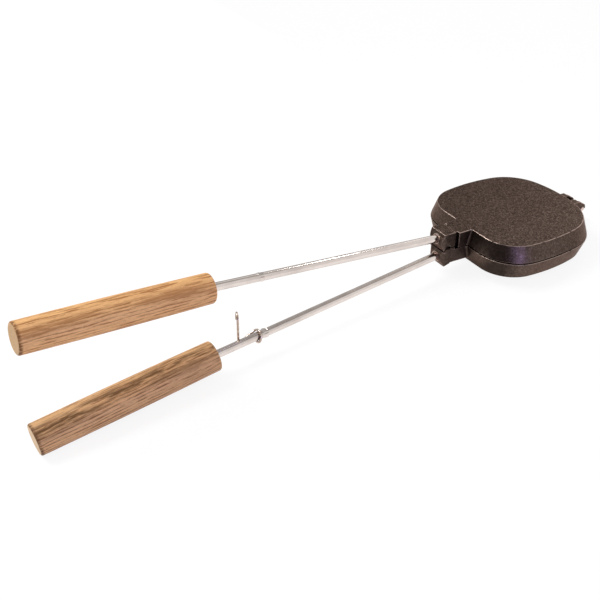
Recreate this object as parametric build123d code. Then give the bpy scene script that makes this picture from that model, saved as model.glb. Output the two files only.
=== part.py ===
"""Pie iron: two hinged cast-iron plates on steel rods with turned wooden handles.

Everything is drawn in the closed iron's own frame, in millimetres: X runs along the iron from the
handles to the hinge, Y across it, and Z = 0 is the parting plane between the two plates, with the
origin where the rods enter the plates' lugs. The finished iron is then laid down as it stands on a
table, on its lower handle and on the far edge of its lower plate.
"""

import os
from math import asin, atan, atan2, cos, degrees, hypot, radians, sin, tan

from build123d import *

# Plates: the outline of the flat outer face, and the drafted wall down to the parting plane
NEAR_X = 34.0                  # straight side, next to the lug
FAR_X = 162.8                  # middle of the bulging side, next to the hinge
WIDEST = (87.5, 67.1)          # widest point of the flat face
NEAR_CORNER_Y = 58.2           # where the side arcs would meet the straight side
FAR_CORNER = (149.0, 57.0)     # where the side arcs would meet the far side
NEAR_CORNER_RADIUS = 35.9
FAR_CORNER_RADIUS = 46.0
FACE_HEIGHT = {"upper": 17.0, "lower": 18.3}   # parting plane to the flat outer face
SPREAD_ALONG = 4.3             # how much further out the wall is at the parting plane
SPREAD_ACROSS = 6.4
GROWTH = {"upper": 0.0, "lower": 0.5}          # the lower plate is a little larger all round
SEAM = 0.9                     # gap between the closed rims
FACE_EDGE = 0.9                # edge round of the flat face
RIM_EDGE = 0.6                 # edge round of the rim
RIM_WIDTH = 6.0
CAVITY_DEPTH = 12.0
CAVITY_ROUND = 5.0

# Lug of each plate: a boss for the rod and a web that joins it to the plate
LUG_SEAM_X = 1.5               # end of the lug at the parting plane
NOSE_X = {"upper": -2.0, "lower": 0.3}         # foremost part, in front of the rod's hole
NOSE_Z = {"upper": (7.5, 10.0), "lower": (4.0, 11.4)}
LUG_TOP_X = {"upper": 1.6, "lower": 3.5}       # end of the lug at its outer side
BOSS_END_X = {"upper": 15.1, "lower": 10.7}
BOSS_HEIGHT = {"upper": 18.6, "lower": 17.7}
BOSS_FALL = {"upper": 0.3, "lower": 1.8}       # how much lower the boss ends than it starts
BOSS_STEP = 0.6                # length of the slope from the boss down to the web
BOSS_HALF_WIDTH = 10.6
BOSS_CORNER = {"upper": 3.8, "lower": 4.5}
WEB_HEIGHT = {"upper": 17.0, "lower": 14.7}
WEB_HALF_WIDTH = {"upper": (11.8, 12.5), "lower": (10.6, 12.5)}    # behind the boss and at the plate
WEB_FILLET = 2.0
LUG_EDGE = 0.5                 # edge round of the boss
WEB_START_X = {"upper": 18.7, "lower": 10.7}   # the upper web is parted from its boss by a groove
NECK_HALF_WIDTH = 8.2          # between the grooves
KEY_START_X, KEY_PEAK_X, KEY_END_X = 1.8, 4.2, 15.0
KEY_HEIGHT, KEY_END_HEIGHT = 3.1, 1.5
KEY_GAP = 0.5
KEY_SINK = 2.0                 # how far the wedge reaches down into the lower lug
NOTCH_X, NOTCH_PEAK = 0.8, (8.8, 5.4)
NOTCH_STEEP = 0.4              # run of the notch's steep side

# Rods
ROD_RADIUS = 4.0
ROD_HEIGHT = {"upper": 10.75, "lower": 9.75}   # rod axis above or below the parting plane at x = 0
ROD_ANGLE = {"upper": 5.85, "lower": 6.15}     # each rod leans away from the parting plane
ROD_SOCKET = 27.0              # length inside the lug
ROD_FREE = {"upper": 251.3, "lower": 249.8}    # lug to handle
ROD_IN_HANDLE = 90.0
SOCKET_CHAMFER = 1.2
CRIMP_AT = {"upper": 202.0, "lower": 197.5}    # pinched place that stops the latch
CRIMP_LENGTH = 7.0
CRIMP_EAR = 4.8                # half width over its ears
CRIMP_EAR_THICKNESS = 4.0
CRIMP_DENT = 0.9
CRIMP_DENT_RADIUS = 5.5

# Handles: a slight barrel, hanging a little low on the rods
HANDLE_LENGTH = 173.3
HANDLE_RADII = {"upper": (13.7, 14.25, 14.05), "lower": (14.3, 14.9, 14.7)}   # mouth, middle, end
HANDLE_EDGE = 2.0
HANDLE_DROOP = {"upper": 2.4, "lower": 1.3}

# Hinge at the far side: two hooked ears on the upper plate ride on a pin in the lower plate's knuckle
HINGE = (188.4, -3.1)          # pin's axis, x and z
EAR_HEAD = (187.5, -2.4)       # middle of the ear's round head, a little above the pin
EAR_HEAD_RADIUS = 5.5
EAR_MIDDLE_Y = 8.4
EAR_THICKNESS = 7.0
EAR_ROOT_Z = (1.4, 8.0)        # lower and upper edge inside the plate's wall
EAR_BEND_X = 178.6             # where its underside starts to fall
EAR_UNDER = (182.9, -5.4)      # where its underside meets the head
EAR_LIP = 0.5                  # how far the hook reaches below the pin's axis
SHOULDER = (183.6, 6.1)        # where its top starts to fall
SHOULDER_RADIUS = 3.0
SHOULDER_END = (187.9, 3.0)    # where its top meets the head
KNUCKLE_RADIUS = 4.5
KNUCKLE_HALF_WIDTH = 4.5
KNUCKLE_ROOT_Z = (-8.1, -0.9)
KNUCKLE_RISE_X = 171.4         # where its top starts to rise
NECK_ROOT_X = 158.0            # inside the plate's wall
PIN_RADIUS = 2.2
PIN_PLAY = 0.08
PIN_STANDS_OUT = 1.0           # at each side of the ears
PIN_CHAMFER = 0.3

# Latch: one bent wire, with a ring round the lower rod and a hook for the upper rod
WIRE_RADIUS = 1.15
RING_AT = 205.0
RING_RADIUS = 5.7              # of the wire's centre line
RING_LEAN = 18.0               # its upper side lies nearer to the plates
RING_START, RING_SWEEP = 120.0, -270.0
RING_EXIT = 3.0                # straight wire between the ring and its bend to the foot
FOOT_AT = 222.5
FOOT_BEHIND, FOOT_BELOW = 6.2, 4.2             # of the rod's axis
WIRE_BEND = 2.6
LEG_LENGTH = 24.8
LEG_LEAN = 6.0                 # towards the plates
HOOK_RADIUS = 5.0
HOOK_TURN = 22.0               # the hook's plane is turned about the leg
HOOK_TIP = 4.4

SIDE_SIGN = {"upper": 1, "lower": -1}
TOLERANCE = 0.05               # for picking edges by their place
SHORT_EDGE = 1.0               # edges shorter than this stay sharp


def outline(grow_along=0.0, grow_across=0.0):
    """Outline of the flat face, or grown: a straight near side, three bulging sides, round corners."""
    near_x, far_x, corner_x = NEAR_X - grow_along, FAR_X + grow_along, FAR_CORNER[0] + grow_along
    near_y, side_y, corner_y = (y + grow_across for y in (NEAR_CORNER_Y, WIDEST[1], FAR_CORNER[1]))
    face = make_face([
        Line((near_x, near_y), (near_x, -near_y)),
        ThreePointArc((near_x, -near_y), (WIDEST[0], -side_y), (corner_x, -corner_y)),
        ThreePointArc((corner_x, -corner_y), (far_x, 0), (corner_x, corner_y)),
        ThreePointArc((corner_x, corner_y), (WIDEST[0], side_y), (near_x, near_y)),
    ])
    grow = (grow_along + grow_across) / 2
    face = fillet(face.vertices().sort_by(Axis.X)[:2], NEAR_CORNER_RADIUS + grow)
    far_corners = face.vertices().sort_by(Axis.X)[-2:]
    return fillet(far_corners, FAR_CORNER_RADIUS + grow)


def wall_section(half, height, inset=0.0):
    """Outline of one plate's drafted wall at a height, or of its inner side."""
    spread = 1 - height / FACE_HEIGHT[half]
    grow = GROWTH[half] - inset
    return Pos(0, 0, height) * outline(spread * SPREAD_ALONG + grow, spread * SPREAD_ACROSS + grow)


def tapered(half, top, inset=0.0):
    """Solid inside one plate's wall, or inside its inner side, from the rim up to a height."""
    return loft([wall_section(half, SEAM / 2, inset), wall_section(half, top, inset)], ruled=True)


def side_view(points, half_width):
    """A block with the given side view, centred across the iron."""
    return extrude(Plane.XZ * make_face(Polyline(*points, close=True)), amount=half_width, both=True)


def lug(half):
    """Boss and web of one plate, drawn above the parting plane."""
    seam, inside = SEAM / 2, NEAR_X + RIM_WIDTH
    nose, end, top = NOSE_X[half], BOSS_END_X[half], BOSS_HEIGHT[half]
    nose_low, nose_high = NOSE_Z[half]
    web_x, web_top = WEB_START_X[half], WEB_HEIGHT[half]
    web_narrow, web_wide = WEB_HALF_WIDTH[half]
    block = side_view([
        (LUG_SEAM_X, seam), (nose, nose_low), (nose, nose_high), (LUG_TOP_X[half], top),
        (end, top - BOSS_FALL[half]), (end + BOSS_STEP, web_top), (inside, web_top), (inside, seam),
    ], web_wide)
    boss = Pos((nose + end) / 2, 0) * Rectangle(end - nose, 2 * BOSS_HALF_WIDTH)
    boss = fillet(boss.vertices().sort_by(Axis.X)[:2], BOSS_CORNER[half])
    plan = boss + make_face(Polyline(
        (web_x, -web_narrow), (inside, -web_wide), (inside, web_wide), (web_x, web_narrow), close=True))
    if half == "upper":
        plan += Pos(end, 0) * Rectangle(2 * (web_x - end), 2 * NECK_HALF_WIDTH)
    return block & extrude(plan, amount=top)


def key_profile(gap):
    """Side view of the wedge on the lower lug, or, with a gap, of the upper lug's recess for it."""
    return [
        (KEY_START_X - gap, 0), (KEY_PEAK_X - gap, KEY_HEIGHT + gap),
        (KEY_END_X + gap, KEY_END_HEIGHT + gap), (KEY_END_X + gap, 0),
    ]


def mirrored(shape):
    """The same shape on the other side of the parting plane."""
    return mirror(shape, about=Plane.XY)


def rod_plane(half, along=0.0):
    """Plane across a rod: local X to the right-hand side, Y up, Z along the rod to the handle."""
    angle, sign = radians(ROD_ANGLE[half]), SIDE_SIGN[half]
    direction = Vector(-cos(angle), 0, sign * sin(angle))
    return Plane(Vector(0, 0, sign * ROD_HEIGHT[half]) + direction * along, x_dir=(0, -1, 0), z_dir=direction)


def handle_plane(half):
    """Plane of the handle's mouth, leaning by its droop from the rod."""
    sign = SIDE_SIGN[half]
    angle = radians(ROD_ANGLE[half] - sign * HANDLE_DROOP[half])
    direction = Vector(-cos(angle), 0, sign * sin(angle))
    return Plane(rod_plane(half, ROD_FREE[half]).origin, x_dir=(0, -1, 0), z_dir=direction)


def rod_blank(half):
    """The plain round bar, without its crimp."""
    length = ROD_SOCKET + ROD_FREE[half] + ROD_IN_HANDLE
    bar = Cylinder(ROD_RADIUS, length, align=(Align.CENTER, Align.CENTER, Align.MIN))
    return rod_plane(half, -ROD_SOCKET) * bar


def rod(half):
    """Round bar, pinched from above and below so that it stands out at both sides in two small ears."""
    place = rod_plane(half, CRIMP_AT[half])
    ears = extrude(Plane.XZ * Ellipse(CRIMP_EAR, CRIMP_LENGTH / 2), amount=CRIMP_EAR_THICKNESS / 2, both=True)
    dent = Rot(0, 90, 0) * Cylinder(CRIMP_DENT_RADIUS, 3 * ROD_RADIUS)
    dent_y = ROD_RADIUS - CRIMP_DENT + CRIMP_DENT_RADIUS
    bar = rod_blank(half) + place * ears
    for side in (-1, 1):
        bar -= place * Pos(0, side * dent_y, 0) * dent
    return bar


def edges_at(shape, height, from_x):
    """Edges whose middle lies at a height, further along the iron than a place."""
    level = shape.edges().filter_by_position(Axis.Z, height - TOLERANCE, height + TOLERANCE)
    return level.filter_by_position(Axis.X, from_x, HINGE[0])


def boss_edges(casting, half):
    """Edges of the boss and its grooves: not those of the face, of the neck or at the parting plane."""
    def chosen(edge):
        place = edge.center()
        in_reach = place.X < WEB_START_X["upper"] + TOLERANCE and place.Z > SEAM and edge.length > SHORT_EDGE
        on_face = abs(place.Z - FACE_HEIGHT[half]) < FACE_EDGE + LUG_EDGE / 2
        on_neck = abs(place.Y) < NECK_HALF_WIDTH + TOLERANCE and place.X > LUG_TOP_X[half] + TOLERANCE
        return in_reach and not on_face and not on_neck
    return casting.edges().filter_by(chosen)


def rounded(half):
    """Plate and lug in one solid casting, with its corners and edges rounded."""
    height, web_wide = FACE_HEIGHT[half], WEB_HALF_WIDTH[half][1]
    casting = tapered(half, height) + lug(half)
    corners = [
        casting.edges().sort_by_distance((NEAR_X - SPREAD_ALONG / 2, side * web_wide, height / 2))[0]
        for side in (-1, 1)
    ]
    casting = fillet(corners, WEB_FILLET)
    casting = fillet(edges_at(casting, height, WEB_START_X["upper"] + TOLERANCE), FACE_EDGE)
    casting = fillet(boss_edges(casting, half), LUG_EDGE)
    return fillet(edges_at(casting, SEAM / 2, NEAR_X - SPREAD_ALONG - WEB_FILLET), RIM_EDGE)


def plate_with_lug(half):
    """Casting of one half, hollow and with its rod socket, above or below the parting plane."""
    casting = rounded(half)
    cavity = tapered(half, CAVITY_DEPTH, RIM_WIDTH)
    casting -= fillet(cavity.edges().group_by(Axis.Z)[-1], CAVITY_ROUND)
    if half == "lower":
        casting = mirrored(casting)
    nose = -NOSE_X[half] / cos(radians(ROD_ANGLE[half]))
    reamer = Cone(ROD_RADIUS, ROD_RADIUS + 2 * SOCKET_CHAMFER, 2 * SOCKET_CHAMFER)
    return casting - rod_blank(half) - rod_plane(half, nose) * reamer


def ear():
    """Side arm of the upper plate: it leaves the wall, falls at the shoulder, and hooks over the pin."""
    x, z = HINGE
    low, high = EAR_ROOT_Z
    bore = PIN_RADIUS + PIN_PLAY
    arm = make_face(Polyline(
        (NECK_ROOT_X, low), (NECK_ROOT_X, high), SHOULDER, SHOULDER_END, EAR_HEAD, EAR_UNDER,
        (EAR_BEND_X, low), close=True))
    arm = fillet(arm.vertices().sort_by_distance(SHOULDER)[0], SHOULDER_RADIUS)
    hook = arm + Pos(*EAR_HEAD) * Circle(EAR_HEAD_RADIUS)
    mouth = Pos(x - bore, z - EAR_LIP) * Rectangle(
        2 * EAR_HEAD_RADIUS, EAR_HEAD_RADIUS, align=(Align.MIN, Align.MAX))
    hook -= mouth + Pos(x, z) * Circle(bore)
    return extrude(Plane.XZ * hook, amount=EAR_THICKNESS / 2, both=True)


def knuckle():
    """Middle arm of the lower plate, ending in a round eye for the pin."""
    x, z = HINGE
    low, high = KNUCKLE_ROOT_Z
    arm = make_face(Polyline(
        (NECK_ROOT_X, low), (NECK_ROOT_X, high), (KNUCKLE_RISE_X, high),
        (x, z + KNUCKLE_RADIUS), (x, z - KNUCKLE_RADIUS), close=True))
    outer = arm + Pos(x, z) * Circle(KNUCKLE_RADIUS) - Pos(x, z) * Circle(PIN_RADIUS)
    return extrude(Plane.XZ * outer, amount=KNUCKLE_HALF_WIDTH, both=True)


def upper_plate():
    casting = plate_with_lug("upper")
    notch = [(NOTCH_X, 0), NOTCH_PEAK, (NOTCH_PEAK[0] + NOTCH_STEEP, 0)]
    casting -= side_view(notch, 2 * BOSS_HALF_WIDTH)
    casting -= side_view(key_profile(KEY_GAP), 2 * BOSS_HALF_WIDTH)
    for side in (-1, 1):
        casting += Pos(0, side * EAR_MIDDLE_Y, 0) * ear()
    return casting


def lower_plate():
    key = side_view(key_profile(0) + [(KEY_END_X, -KEY_SINK), (KEY_START_X, -KEY_SINK)], BOSS_HALF_WIDTH)
    return plate_with_lug("lower") + key + knuckle()


def hinge_pin():
    """Plain pin, held by the knuckle."""
    reach = EAR_MIDDLE_Y + EAR_THICKNESS / 2 + PIN_STANDS_OUT
    pin = Cylinder(PIN_RADIUS, 2 * reach)
    pin = chamfer(pin.edges().filter_by(GeomType.CIRCLE), PIN_CHAMFER)
    return Pos(HINGE[0], 0, HINGE[1]) * Rot(90, 0, 0) * pin


def handle(half):
    """Turned handle, bored along the rod's own axis."""
    mouth, middle, end = HANDLE_RADII[half]
    half_section = make_face([
        Line((0, 0), (mouth, 0)),
        ThreePointArc((mouth, 0), (middle, HANDLE_LENGTH / 2), (end, HANDLE_LENGTH)),
        Line((end, HANDLE_LENGTH), (0, HANDLE_LENGTH)),
        Line((0, HANDLE_LENGTH), (0, 0)),
    ])
    turned = revolve(Plane.XZ * half_section, axis=Axis.Z)
    turned = fillet(turned.edges().filter_by(GeomType.CIRCLE), HANDLE_EDGE)
    return handle_plane(half) * turned - rod_blank(half)


def latch_path():
    """Centre line of the latch wire in the lower rod's plane, from the hook's tip to the ring's end."""
    ring = Pos(0, 0, RING_AT) * Rot(-RING_LEAN, 0, 0) * CenterArc((0, 0), RING_RADIUS, RING_START, RING_SWEEP)
    ring_start, away = ring @ 0, -(ring % 0)
    up = Vector(0, cos(radians(LEG_LEAN)), -sin(radians(LEG_LEAN)))
    back = Vector(-cos(radians(HOOK_TURN)), 0, -sin(radians(HOOK_TURN)))
    back = (back - up * back.dot(up)).normalized()
    foot = Vector(-FOOT_BEHIND, -FOOT_BELOW, FOOT_AT)
    leg_top = foot + up * LEG_LENGTH
    hook_end = leg_top + back * 2 * HOOK_RADIUS
    tip = Line(hook_end - up * HOOK_TIP, hook_end)
    hook = ThreePointArc(hook_end, leg_top + (back + up) * HOOK_RADIUS, leg_top)
    shank = FilletPolyline(leg_top, foot, ring_start + away * RING_EXIT, ring_start, radius=WIRE_BEND)
    return Wire([tip, hook, *shank.edges(), ring])


def latch_hook():
    path = latch_path()
    section = Plane(path @ 0, z_dir=path % 0) * Circle(WIRE_RADIUS)
    return rod_plane("lower") * sweep(section, path=path)


def rest_tilt():
    """Angle that brings the lower handle and the lower plate's far edge down to one level."""
    end = handle_plane("lower")
    end_radius = HANDLE_RADII["lower"][2]
    edge = end.from_local_coords(Vector(0, -(end_radius - HANDLE_EDGE), HANDLE_LENGTH - HANDLE_EDGE))
    draft = atan(SPREAD_ALONG / FACE_HEIGHT["lower"])
    plate_x = FAR_X + GROWTH["lower"] - FACE_EDGE * tan((radians(90) - draft) / 2)
    run, rise = plate_x - edge.X, -FACE_HEIGHT["lower"] + FACE_EDGE - edge.Z
    return degrees(atan2(rise, run) + asin((HANDLE_EDGE - FACE_EDGE) / hypot(run, rise)))


parts = {
    "lower_plate": lower_plate(),
    "upper_plate": upper_plate(),
    "hinge_pin": hinge_pin(),
    "lower_rod": rod("lower"),
    "upper_rod": rod("upper"),
    "lower_handle": handle("lower"),
    "upper_handle": handle("upper"),
    "latch_hook": latch_hook(),
}

# Lay the iron down: tilted to its rest, with the origin under the middle of its box
tilted = {name: Rot(0, rest_tilt(), 0) * shape for name, shape in parts.items()}
box = Compound(children=[Compound(shape.solids()) for shape in tilted.values()]).bounding_box()
shift = Pos(-box.center().X, 0, -box.min.Z)

os.makedirs("parts", exist_ok=True)
for name, shape in tilted.items():
    export_step(shift * shape, f"parts/{name}.step")
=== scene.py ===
from math import cos, radians, sin

import bpy
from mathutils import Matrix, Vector


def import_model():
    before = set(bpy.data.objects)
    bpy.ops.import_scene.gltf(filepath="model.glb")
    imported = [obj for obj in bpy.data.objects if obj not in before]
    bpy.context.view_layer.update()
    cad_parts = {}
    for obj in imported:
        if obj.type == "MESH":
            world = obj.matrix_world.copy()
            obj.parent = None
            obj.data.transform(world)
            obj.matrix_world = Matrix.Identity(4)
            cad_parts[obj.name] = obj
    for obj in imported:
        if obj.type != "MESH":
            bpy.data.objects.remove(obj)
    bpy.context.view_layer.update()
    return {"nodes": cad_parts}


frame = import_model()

# The closed iron's own frame: X from the lugs to the hinge, Z = 0 on the parting plane (metres)
TILT = 5.42684                               # degrees the iron leans at rest
SHIFT = Vector((0.116206, 0.0, 0.033612))
SIGN = {"upper": 1, "lower": -1}
ROD_HEIGHT = {"upper": 0.01075, "lower": 0.00975}
ROD_ANGLE = {"upper": 5.85, "lower": 6.15}
ROD_FREE = {"upper": 0.2513, "lower": 0.2498}      # between the lug and the handle's mouth
HANDLE_DROOP = {"upper": 2.4, "lower": 1.3}
HANDLE_LENGTH = 0.1733
SOCKET_RADIUS = 0.0051                       # of the socket's mouth in the lug
LUG_END_X = 0.033                            # where the lugs meet the walls of the trays
KEY_START_X, KEY_PEAK_X, KEY_END_X = 0.0018, 0.0042, 0.0150     # wedge of the lower lug
KEY_PEAK_Z, KEY_END_Z = 0.0034, 0.0018       # middle of the gap over the wedge

# Colours, linear
IRON_DARK, IRON_LIGHT = (0.088, 0.060, 0.047), (0.116, 0.081, 0.065)
# The light specks on the iron are partly sand grit and partly painted glints
IRON_PIT, IRON_PORE, IRON_GRIT_AND_GLINT = (0.020, 0.013, 0.010), (0.012, 0.008, 0.006), (0.30, 0.235, 0.20)
# Painted shade for crevices and near sides; the light edge colour is partly wear and partly painted highlight
CREVICE_SHADE, NEAR_SIDE_SHADE, WEAR_AND_HIGHLIGHT = (0.008, 0.005, 0.004), (0.010, 0.007, 0.006), (0.72, 0.55, 0.47)
IRON_TINT = (0.86, 0.71, 0.65, 1.0)
# The last colour is painted shade where the rod is hemmed in
ROD_BRIGHT, ROD_DULL, ROD_CREVICE_SHADE = (0.82, 0.735, 0.685), (0.66, 0.58, 0.535), (0.10, 0.075, 0.065)
WIRE_LIGHT, WIRE_DARK = (0.74, 0.62, 0.54), (0.42, 0.32, 0.26)
PIN_LIGHT, PIN_DARK = (0.78, 0.62, 0.55), (0.50, 0.38, 0.33)
OAK = {
    "upper": {"light": (0.95, 0.55, 0.235), "dark": (0.42, 0.175, 0.055), "end": (0.76, 0.48, 0.24),
              "streak": (0.52, 0.24, 0.085), "streak_at": 0.015, "streak_width": 0.0035},
    "lower": {"light": (0.80, 0.475, 0.225), "dark": (0.30, 0.140, 0.056), "end": (1.0, 0.70, 0.42),
              "streak": (0.14, 0.064, 0.020), "streak_at": 0.0105, "streak_width": 0.0082}}

# Stage
REACH = 8.0                                  # how far the floor runs each way
EDGE_X, STEP = 0.3105, 0.4                   # the table ends just past the hinge, so the opened half swings free
CARDS = (("card_front", (-2.4, -1.5), (0.35, -1.75), 1.5),
         ("card_left", (-2.4, -1.5), (-2.9, -0.3), 1.3),
         ("card_far_left", (-2.9, -0.3), (-2.4, 1.9), 1.0))
WHITE, VIOLET = (1.0, 1.0, 1.0), (0.50, 0.46, 1.0)
LAMPS = (("overhead", (-0.7, 0.8, 1.5), (0.05, 0.0, 0.0), (0.9, 0.9), 20.0, WHITE),
         ("back", (1.25, 0.5, 0.6), (0.22, 0.0, 0.04), (0.5, 0.5), 0.5, WHITE),
         ("glint", (1.0, 0.42, 1.08), (0.0, 0.0, 0.05), (0.15, 0.15), 1.0, WHITE),
         ("violet", (-0.13, -1.00, 0.18), (0.18, -0.06, 0.03), (0.46, 0.28), 2.8, VIOLET))
LENS, SENSOR = 61.719, 36.0
CAMERA_PLACE, CAMERA_TURN = (-0.417996, -0.662686, 0.606609), (53.31749, 3.68299, -32.29381)


def at_rest(point):
    """A point or direction of the iron's own frame, turned as the iron lies at rest."""
    a = radians(TILT)
    return Vector((cos(a) * point[0] + sin(a) * point[2], point[1], -sin(a) * point[0] + cos(a) * point[2]))


def leaning(half, degrees):
    """Direction from the lugs to the handles, leaning away from the parting plane."""
    lean = radians(degrees)
    return at_rest((-cos(lean), 0, SIGN[half] * sin(lean)))


def rod_frame(half):
    """Where the rod's axis starts at the lug, and its direction, at rest."""
    return at_rest((0, 0, SIGN[half] * ROD_HEIGHT[half])) + SHIFT, leaning(half, ROD_ANGLE[half])


def handle_frame(half):
    """Middle of the handle's mouth and the direction of its axis, at rest."""
    start, along = rod_frame(half)
    return start + along * ROD_FREE[half], leaning(half, ROD_ANGLE[half] - SIGN[half] * HANDLE_DROOP[half])


class Shader:
    """A material under construction. Its methods make nodes, set or link their inputs, and return an output."""

    def __init__(self, name):
        self.material = bpy.data.materials.new(name)
        self.material.use_nodes = True
        self.tree = self.material.node_tree
        self.tree.nodes.clear()
        self.output = self.tree.nodes.new("ShaderNodeOutputMaterial")

    def node(self, kind, settings=None, **inputs):
        """A node with these settings and inputs; i0, i1 and so on name inputs by their number."""
        made = self.tree.nodes.new("ShaderNode" + kind)
        for key, value in (settings or {}).items():
            setattr(made, key, value)
        for key, value in inputs.items():
            numbered = key[0] == "i" and key[1:].isdigit()
            self.feed(made.inputs[int(key[1:]) if numbered else key], value)
        return made

    def feed(self, socket, value):
        if isinstance(value, bpy.types.NodeSocket):
            self.tree.links.new(value, socket)
        else:
            socket.default_value = value

    def object_coords(self, location=None, rotation=None):
        """Coordinates of the mesh at rest, or those of a frame at that place."""
        coords = self.node("TexCoord").outputs["Object"]
        if location is None:
            return coords
        return self.node("Mapping", {"vector_type": "TEXTURE"}, Vector=coords, Location=location,
                         Rotation=rotation).outputs[0]

    def axis_coords(self, start, along):
        """Coordinates whose Z runs from a point in a direction."""
        return self.object_coords(start, along.to_track_quat("Z", "Y").to_euler())

    def split(self, vector):
        return self.node("SeparateXYZ", Vector=vector).outputs

    def noise(self, coords, scale, detail=3.0, roughness=0.55, stretch=None):
        """Noise, drawn out along Z if stretch is below 1."""
        if stretch is not None:
            coords = self.node("VectorMath", {"operation": "MULTIPLY"}, i0=coords,
                               i1=(1.0, 1.0, stretch)).outputs[0]
        return self.node("TexNoise", Vector=coords, Scale=scale, Detail=detail, Roughness=roughness).outputs["Fac"]

    def math(self, operation, a, b=0.0, c=0.0, clamp=False):
        return self.node("Math", {"operation": operation, "use_clamp": clamp}, i0=a, i1=b, i2=c).outputs[0]

    def product(self, first, *others):
        for other in others:
            first = self.math("MULTIPLY", first, other)
        return first

    def inverse(self, mask):
        return self.math("SUBTRACT", 1.0, mask)

    def remap(self, value, low, high, to_low=0.0, to_high=1.0):
        made = self.node("MapRange", {"clamp": True}, Value=value)
        for name, number in (("From Min", low), ("From Max", high), ("To Min", to_low), ("To Max", to_high)):
            made.inputs[name].default_value = number
        return made.outputs[0]

    def mix(self, factor, a, b):
        made = self.node("Mix", {"data_type": "RGBA"})
        self.feed(made.inputs[0], factor)
        for socket, color in ((made.inputs[6], a), (made.inputs[7], b)):
            self.feed(socket, (*color, 1.0) if isinstance(color, tuple) else color)
        return made.outputs[2]

    def bump(self, height, strength, distance, normal=None):
        made = self.node("Bump", Strength=strength, Distance=distance, Height=height)
        if normal is not None:
            self.tree.links.new(normal, made.inputs["Normal"])
        return made.outputs[0]

    def finish(self, color, roughness, normal, metallic=0.0, **constants):
        surface = self.node("BsdfPrincipled", None, Roughness=roughness, Normal=normal, Metallic=metallic,
                            **{"Base Color": color})
        for name, value in constants.items():
            surface.inputs[name.replace("_", " ")].default_value = value
        return self.close(surface)

    def close(self, surface):
        self.tree.links.new(surface.outputs[0], self.output.inputs["Surface"])
        return self.material


def parting_gap(s, x, z):
    """Mask of the narrow gap between the lugs, which climbs over the wedge, where a line of shade is painted."""
    rise = s.remap(x, KEY_START_X, KEY_PEAK_X, 0.0, KEY_PEAK_Z)
    fall = s.remap(x, KEY_PEAK_X, KEY_END_X, KEY_PEAK_Z, KEY_END_Z)
    past_key = s.remap(x, KEY_END_X + 0.0001, KEY_END_X + 0.0004, 1.0, 0.0)
    height = s.product(s.math("MINIMUM", rise, fall), past_key)
    opening = s.remap(x, 0.0015, 0.0040, 0.0010, 0.0022)
    closing = s.remap(x, 0.0098, 0.0085, 0.0008, 0.0022)
    width = s.math("MINIMUM", opening, closing)
    distance = s.math("ABSOLUTE", s.math("SUBTRACT", z, height))
    return s.product(s.remap(s.math("DIVIDE", distance, width), 1.0, 0.7), s.remap(x, 0.034, 0.028))


def lug_painted_shade(s, x, y, sideways):
    """Mask of painted shade on the sides of the lugs, and of painted shade and dark reflection on the near tray's
    wall beside them.
    """
    on_lug = s.product(s.remap(sideways, 0.30, 0.62), s.remap(x, 0.0, 0.006, 0.0, 0.42),
                       s.remap(x, LUG_END_X + 0.003, LUG_END_X - 0.001))
    on_wall = s.product(s.remap(sideways, 0.85, 0.60), s.remap(y, -0.006, -0.012, 0.0, 0.70),
                        s.remap(x, 0.100, 0.060), s.remap(x, LUG_END_X - 0.003, LUG_END_X))
    return s.math("MAXIMUM", on_lug, on_wall)


def worn_and_highlit_edges(s, coords, level, corner, gap):
    """Mask of edge wear and painted highlight: the rounds of the faces, sharp edges, and the mouth of each rod's
    socket.
    """
    x, _, z = s.split(coords)
    face_rounds = s.product(s.remap(level, 0.55, 0.75), s.remap(level, 0.975, 0.92), s.inverse(gap))
    rounded = s.node("Bevel", {"samples": 6}, Radius=0.0012).outputs[0]
    true = s.node("NewGeometry").outputs["Normal"]
    turn = s.node("VectorMath", {"operation": "DOT_PRODUCT"}, i0=rounded, i1=true).outputs["Value"]
    sharp_edges = s.product(s.remap(turn, 0.985, 0.90), corner, s.remap(z, 0.008, 0.014, 0.6, 1.0))
    broken = s.remap(s.noise(coords, 190.0, 3.0, 0.7), 0.34, 0.46)
    wear_and_highlight = s.product(s.math("MAXIMUM", face_rounds, sharp_edges), broken)
    for half in SIGN:
        across, up, _ = s.split(s.axis_coords(*rod_frame(half)))
        radius = s.math("SQRT", s.math("ADD", s.product(across, across), s.product(up, up)))
        mouth = s.product(s.remap(radius, SOCKET_RADIUS + 0.0005, SOCKET_RADIUS), s.remap(x, 0.006, 0.004))
        wear_and_highlight = s.math("MAXIMUM", wear_and_highlight, mouth)
    return wear_and_highlight


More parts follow.
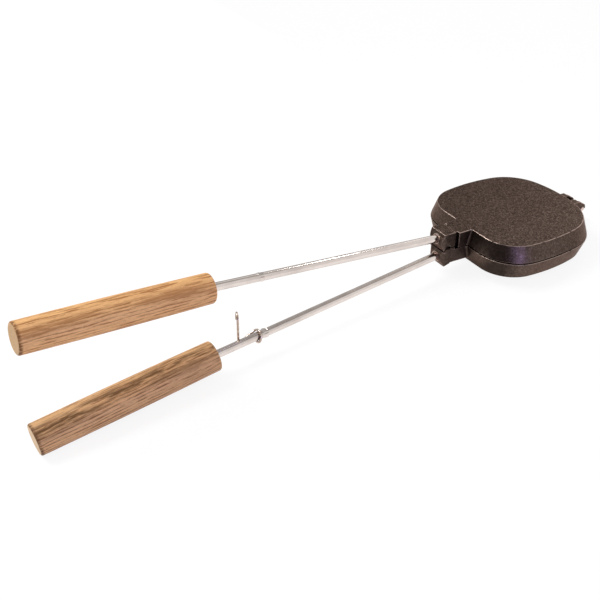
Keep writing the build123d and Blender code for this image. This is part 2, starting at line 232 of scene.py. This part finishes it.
def cast_iron():
    """Sand-cast, oil-blackened iron: brown-black, finely grained, with painted shade in its hollows and on its
    near sides, and edges lightened partly by wear and partly by painted highlight.
    """
    s = Shader("cast_iron_seasoned")
    coords = s.object_coords(SHIFT, (0, radians(TILT), 0))
    x, y, z = s.split(coords)
    blotch = s.noise(coords, 38.0, 4.0, 0.6)
    sand = s.noise(coords, 720.0, 2.0, 0.6)
    lumps = s.noise(coords, 300.0, 2.0, 0.5)
    _, sideways, level = (s.math("ABSOLUTE", part) for part in s.split(s.node("TexCoord").outputs["Normal"]))
    flat = s.remap(level, 0.45, 0.95, 0.45, 1.0)          # the upright walls are smoother
    color = s.mix(s.remap(blotch, 0.35, 0.65), IRON_DARK, IRON_LIGHT)
    color = s.mix(s.product(s.remap(lumps, 0.62, 0.38, 0.0, 0.65), flat), color, IRON_PIT)
    color = s.mix(s.product(s.remap(sand, 0.56, 0.34, 0.0, 0.42), flat), color, IRON_PORE)
    # Light specks, partly sand grit and partly painted glints
    color = s.mix(s.product(s.remap(sand, 0.54, 0.66, 0.0, 0.55), flat), color, IRON_GRIT_AND_GLINT)
    # Painted shade: darker in the corners, the seam and the gap between the lugs, and on the near sides of the
    # lugs and tray
    gap = parting_gap(s, x, z)
    open_air = s.remap(s.node("AmbientOcclusion", {"samples": 6}, Distance=0.008).outputs["AO"], 0.30, 0.85)
    open_air = s.product(open_air, s.inverse(gap))
    color = s.mix(open_air, CREVICE_SHADE, color)
    # Painted shade and dark reflection on the lug sides and the near wall
    color = s.mix(s.product(lug_painted_shade(s, x, y, sideways), s.remap(level, 0.60, 0.40)), color, NEAR_SIDE_SHADE)
    # Edges and socket mouths lightened, partly wear and partly painted highlight
    wear_and_highlight = worn_and_highlit_edges(s, coords, level, open_air, gap)
    color = s.mix(s.product(wear_and_highlight, 0.75), color, WEAR_AND_HIGHLIGHT)
    roughness = s.remap(s.noise(coords, 160.0, 3.0), 0.3, 0.7, 0.34, 0.46)
    roughness = s.math("MULTIPLY_ADD", wear_and_highlight, -0.12, roughness)
    normal = s.bump(s.product(lumps, flat), 0.30, 0.0006)
    normal = s.bump(s.product(sand, flat), 0.60, 0.00025, normal)
    return s.finish(color, roughness, normal, 0.92, Specular_IOR_Level=0.3, Specular_Tint=IRON_TINT)


def rod_steel(half):
    """Bright drawn steel with faint lines along the rod."""
    s = Shader("rod_steel_" + half)
    coords = s.axis_coords(*rod_frame(half))
    lines = s.noise(coords, 1400.0, 2.0, stretch=0.02)
    patches = s.noise(coords, 130.0, 3.0, stretch=0.4)
    color = s.mix(s.remap(patches, 0.35, 0.7), ROD_BRIGHT, ROD_DULL)
    # Painted shade in the crimp and where the latch and the sockets hold the rod
    open_air = s.node("AmbientOcclusion", {"samples": 6}, Distance=0.004).outputs["AO"]
    color = s.mix(s.remap(open_air, 0.35, 0.92), ROD_CREVICE_SHADE, color)
    return s.finish(color, s.remap(lines, 0.3, 0.7, 0.07, 0.15), s.bump(lines, 0.22, 0.00008), 1.0)


def plain_steel(name, light, dark, rough):
    """Dull, slightly stained steel."""
    s = Shader(name)
    coords = s.object_coords()
    stain = s.noise(coords, 240.0, 4.0, 0.6)
    fine = s.noise(coords, 1500.0, 2.0)
    color = s.mix(s.remap(stain, 0.38, 0.66), light, dark)
    roughness = s.remap(fine, 0.3, 0.7, rough - 0.06, rough + 0.08)
    return s.finish(color, roughness, s.bump(fine, 0.2, 0.00008), 1.0)


def oak(half, light, dark, end, streak, streak_at, streak_width):
    """Turned oak: growth rings broken into dashes, short dark pores, and a band of darker streaks."""
    s = Shader("oak_" + half)
    coords = s.axis_coords(*handle_frame(half))
    x, y, z = s.split(coords)
    warp = s.noise(coords, 60.0, 3.0, 0.6, stretch=0.16)
    # Ring layers: nearly level, a little curved, and rising slowly along the handle
    depth = s.math("ADD", y, s.product(x, x, -7.0))
    depth = s.math("ADD", depth, s.product(z, 0.022))
    depth = s.math("ADD", depth, s.product(warp, 0.0075))
    ring = s.math("FRACT", s.product(depth, 360.0))
    early = s.product(s.remap(ring, 0.0, 0.10), s.remap(ring, 0.70, 0.15))
    dashes = s.remap(s.noise(coords, 900.0, 3.0, 0.65, stretch=0.06), 0.46, 0.56)
    pores = s.remap(s.noise(coords, 1900.0, 2.0, 0.6, stretch=0.17), 0.54, 0.64)
    tone = s.noise(coords, 85.0, 3.0, 0.55, stretch=0.12)
    mark = s.product(early, s.math("MULTIPLY_ADD", dashes, 0.85, 0.15))
    mark = s.math("MULTIPLY_ADD", pores, 0.30, mark)
    mark = s.math("MULTIPLY_ADD", dashes, 0.16, mark, clamp=True)
    color = s.mix(mark, s.mix(s.remap(tone, 0.36, 0.64), light, s.mix(0.22, light, dark)), dark)
    # Band of streaks along one side
    side = s.math("ABSOLUTE", s.math("SUBTRACT", s.math("MULTIPLY_ADD", warp, 0.010, x), streak_at))
    ragged = s.remap(s.noise(coords, 330.0, 3.0, 0.7, stretch=0.10), 0.40, 0.58)
    band = s.product(s.remap(side, streak_width, 0.3 * streak_width), ragged, s.remap(tone, 0.36, 0.50))
    color = s.mix(s.product(band, 0.95), color, streak)
    # Paler end grain inside a darker rim
    rim = s.product(s.remap(z, HANDLE_LENGTH - 0.0035, HANDLE_LENGTH - 0.0017),
                    s.remap(ragged, 0.2, 0.8, 0.35, 1.0))
    color = s.mix(rim, color, tuple(0.62 * part for part in dark))
    end_face = s.remap(z, HANDLE_LENGTH - 0.0003, HANDLE_LENGTH - 0.0001)
    color = s.mix(end_face, color, s.mix(s.product(mark, 0.35), end, dark))
    relief = s.math("ADD", s.product(pores, -0.6), s.product(dashes, -0.5))
    return s.finish(color, s.remap(dashes, 0.0, 1.0, 0.46, 0.62), s.bump(relief, 0.40, 0.00014),
                    Specular_IOR_Level=0.25)


def dress(node, material):
    node.data.materials.clear()
    node.data.materials.append(material)


def staged(name, corners, faces, material):
    """A mesh that belongs to the stage."""
    mesh = bpy.data.meshes.new(name)
    mesh.from_pydata(corners, [], faces)
    mesh.materials.append(material)
    made = bpy.data.objects.new(name, mesh)
    bpy.context.scene.collection.objects.link(made)


def floor():
    """Pale table with a lower floor past its edge, both reading as white paper; they keep the iron's shadow."""
    s = Shader("floor_paper")
    rays = s.node("LightPath").outputs
    seen = s.math("MAXIMUM", s.math("MAXIMUM", rays["Is Camera Ray"], rays["Is Glossy Ray"]),
                  rays["Is Transmission Ray"])
    paper = s.node("BsdfDiffuse", Color=(0.80, 0.80, 0.80, 1))
    tint = s.node("BsdfDiffuse", Color=(0.16, 0.16, 0.16, 1))
    glow = s.node("Emission", Color=(1, 1, 1, 1), Strength=0.88)
    lit = s.node("AddShader", i0=tint.outputs[0], i1=glow.outputs[0])
    material = s.close(s.node("MixShader", i0=seen, i1=paper.outputs[0], i2=lit.outputs[0]))
    levels = ((-REACH, -0.0002), (EDGE_X, -0.0002), (EDGE_X, -STEP), (REACH, -STEP))
    corners = [(x, y, z) for x, z in levels for y in (-REACH, REACH)]
    staged("floor", corners, [(i, i + 2, i + 3, i + 1) for i in (0, 2, 4)], material)


def dark_card(name, start, end, height):
    """Upright dark screen on the floor, unseen by the camera, for the iron's front sides to mirror."""
    s = Shader(name)
    seen = s.node("LightPath").outputs["Is Camera Ray"]
    dark = s.node("BsdfDiffuse", Color=(0.02, 0.018, 0.017, 1))
    clear = s.node("BsdfTransparent")
    material = s.close(s.node("MixShader", i0=seen, i1=dark.outputs[0], i2=clear.outputs[0]))
    corners = [(*start, 0), (*end, 0), (*end, height), (*start, height)]
    staged(name, corners, [(0, 1, 2, 3)], material)


def softbox(name, location, target, size, power, color):
    """Rectangular area lamp aimed at a point."""
    lamp = bpy.data.lights.new(name, "AREA")
    lamp.shape, lamp.size, lamp.size_y = "RECTANGLE", size[0], size[1]
    lamp.energy, lamp.color = power, color
    holder = bpy.data.objects.new(name, lamp)
    holder.location = location
    holder.rotation_euler = (Vector(target) - Vector(location)).to_track_quat("-Z", "Y").to_euler()
    bpy.context.scene.collection.objects.link(holder)


def world():
    """Even studio light, dimmer overhead and behind the iron, and white where the camera sees it."""
    made = bpy.data.worlds.new("studio")
    made.use_nodes = True
    tree = made.node_tree
    split = tree.nodes.new("ShaderNodeSeparateXYZ")
    tree.links.new(tree.nodes.new("ShaderNodeTexCoord").outputs["Generated"], split.inputs[0])
    product = tree.nodes.new("ShaderNodeMath")
    product.operation = "MULTIPLY"
    overhead, behind = (2, 0.66, 0.80, 0.85, 0.36), (1, 0.50, 0.75, 1.0, 0.5)     # axis, from, to
    for slot, (axis, *numbers) in enumerate((overhead, behind)):
        level = tree.nodes.new("ShaderNodeMapRange")
        for name, number in zip(("From Min", "From Max", "To Min", "To Max"), numbers):
            level.inputs[name].default_value = number
        tree.links.new(split.outputs[axis], level.inputs["Value"])
        tree.links.new(level.outputs[0], product.inputs[slot])
    shown = tree.nodes.new("ShaderNodeMath")
    shown.operation = "MAXIMUM"
    tree.links.new(product.outputs[0], shown.inputs[0])
    tree.links.new(tree.nodes.new("ShaderNodeLightPath").outputs["Is Camera Ray"], shown.inputs[1])
    background = tree.nodes["Background"]
    background.inputs["Color"].default_value = (1, 1, 1, 1)
    tree.links.new(shown.outputs[0], background.inputs["Strength"])
    bpy.context.scene.world = made


def camera():
    lens = bpy.data.cameras.new("camera")
    lens.lens, lens.sensor_width = LENS, SENSOR
    holder = bpy.data.objects.new("camera", lens)
    holder.location = CAMERA_PLACE
    holder.rotation_euler = [radians(angle) for angle in CAMERA_TURN]
    bpy.context.scene.collection.objects.link(holder)
    bpy.context.scene.camera = holder


nodes = frame["nodes"]
iron = cast_iron()
for half in SIGN:
    dress(nodes[half + "_plate"], iron)
    dress(nodes[half + "_rod"], rod_steel(half))
    dress(nodes[half + "_handle"], oak(half, **OAK[half]))
dress(nodes["latch_hook"], plain_steel("wire_steel_dull", WIRE_LIGHT, WIRE_DARK, 0.26))
dress(nodes["hinge_pin"], plain_steel("pin_steel", PIN_LIGHT, PIN_DARK, 0.34))

floor()
world()
for card in CARDS:
    dark_card(*card)
for lamp in LAMPS:
    softbox(*lamp)
camera()
bpy.context.scene.view_settings.view_transform = "Standard"
